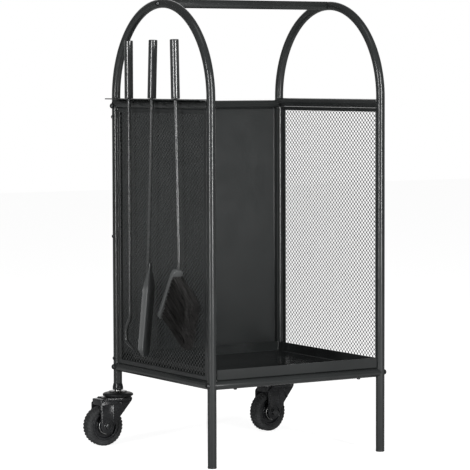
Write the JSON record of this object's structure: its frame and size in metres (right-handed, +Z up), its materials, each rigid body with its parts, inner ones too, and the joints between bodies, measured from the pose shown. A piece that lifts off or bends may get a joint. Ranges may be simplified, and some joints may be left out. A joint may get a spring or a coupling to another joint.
{
  "type": "fireside log cart",
  "caption": "Tube-framed fireside log cart with a sheet tray, mesh sides, braked swivel casters at the rear and a side rack that holds a poker, shovel and brush.",
  "frame": {"origin": "on the floor, under the middle of the whole cart's box", "axes": "+X to the cart's right, +Y to its rear, where the casters are, +Z up"},
  "size_m": [0.4584, 0.3766, 0.826],
  "materials": {
    "powder_coat": "satin black powder coat on tube",
    "sheet_coat": "satin black powder coat on sheet",
    "mesh_coat": "satin black powder coat on expanded mesh",
    "tool_coat": "semi-gloss black paint",
    "end_cap": "matt black moulded plastic",
    "fastener": "blackened steel",
    "caster_plastic": "satin black moulded plastic",
    "caster_steel": "black plated steel",
    "bright_steel": "zinc-plated turned steel",
    "tyre": "matt black rubber",
    "bristle": "black bristle fibre"
  },
  "bodies": {
    "cart": {"back_panel": "sheet_coat", "front_bottom_rail": "powder_coat", "front_left_tray_screw": "fastener", "front_right_tray_screw": "fastener", "handle_bar": "powder_coat", "left_back_screw_1": "fastener", "left_back_screw_2": "fastener", "left_back_screw_3": "fastener", "left_bottom_rail": "powder_coat", "left_caster_socket": "caster_plastic", "left_caster_stem": "bright_steel", "left_front_bottom_bolt": "fastener", "left_front_foot": "end_cap", "left_handle_bolt": "fastener", "left_hoop": "powder_coat", "left_mesh_panel": "mesh_coat", "left_rear_bottom_bolt": "fastener", "left_rear_top_bolt": "fastener", "left_swivel_plate": "caster_steel", "left_top_rail": "powder_coat", "log_tray": "sheet_coat", "rear_bottom_rail": "powder_coat", "rear_left_tray_screw": "fastener", "rear_right_tray_screw": "fastener", "rear_top_rail": "powder_coat", "right_back_screw_1": "fastener", "right_back_screw_2": "fastener", "right_back_screw_3": "fastener", "right_bottom_rail": "powder_coat", "right_caster_socket": "caster_plastic", "right_caster_stem": "bright_steel", "right_front_bottom_bolt": "fastener", "right_front_foot": "end_cap", "right_handle_bolt": "fastener", "right_hoop": "powder_coat", "right_mesh_panel": "mesh_coat", "right_rear_bottom_bolt": "fastener", "right_rear_top_bolt": "fastener", "right_swivel_plate": "caster_steel", "right_top_rail": "powder_coat", "tool_rack": "powder_coat"},
    "left_caster": {"left_caster_fork": "caster_plastic", "left_caster_axle": "bright_steel"},
    "left_wheel": {"left_wheel_hub": "caster_plastic", "left_tyre": "tyre"},
    "left_brake": {"left_brake_pedal": "caster_plastic"},
    "right_caster": {"right_caster_fork": "caster_plastic", "right_caster_axle": "bright_steel"},
    "right_wheel": {"right_wheel_hub": "caster_plastic", "right_tyre": "tyre"},
    "right_brake": {"right_brake_pedal": "caster_plastic"},
    "poker": {"poker_handle": "tool_coat", "poker_rod": "tool_coat"},
    "shovel": {"shovel_handle": "tool_coat", "shovel_rod": "tool_coat", "shovel_pan": "tool_coat"},
    "brush": {"brush_handle": "tool_coat", "brush_rod": "tool_coat", "brush_holder": "tool_coat", "brush_bristles": "bristle"}
  },
  "joints": [
    {"name": "left_caster_swivel", "type": "hinge", "parent": "cart", "child": "left_caster", "pos_m": [-0.15925, 0.15975, 0.08725], "axis": [0, 0, 1], "continuous": true},
    {"name": "left_wheel_spin", "type": "hinge", "parent": "left_caster", "child": "left_wheel", "pos_m": [-0.19175, 0.15975, 0.0375], "axis": [0, 1, 0], "continuous": true},
    {"name": "left_brake_press", "type": "hinge", "parent": "left_caster", "child": "left_brake", "pos_m": [-0.17125, 0.15975, 0.079], "axis": [0, -1, 0], "range_deg": [0, 5]},
    {"name": "right_caster_swivel", "type": "hinge", "parent": "cart", "child": "right_caster", "pos_m": [0.20075, 0.15975, 0.08725], "axis": [0, 0, 1], "continuous": true},
    {"name": "right_wheel_spin", "type": "hinge", "parent": "right_caster", "child": "right_wheel", "pos_m": [0.16874, 0.15411, 0.0375], "axis": [-0.1736, 0.9848, 0], "continuous": true},
    {"name": "right_brake_press", "type": "hinge", "parent": "right_caster", "child": "right_brake", "pos_m": [0.18893, 0.15767, 0.079], "axis": [0.1736, -0.9848, 0], "range_deg": [0, 5]},
    {"name": "poker_unhook", "type": "slide", "parent": "cart", "child": "poker", "axis": [-1, 0, 0], "range_m": [0, 0.08]},
    {"name": "shovel_unhook", "type": "slide", "parent": "cart", "child": "shovel", "axis": [-1, 0, 0], "range_m": [0, 0.08]},
    {"name": "brush_unhook", "type": "slide", "parent": "cart", "child": "brush", "axis": [-1, 0, 0], "range_m": [0, 0.08]}
  ]
}
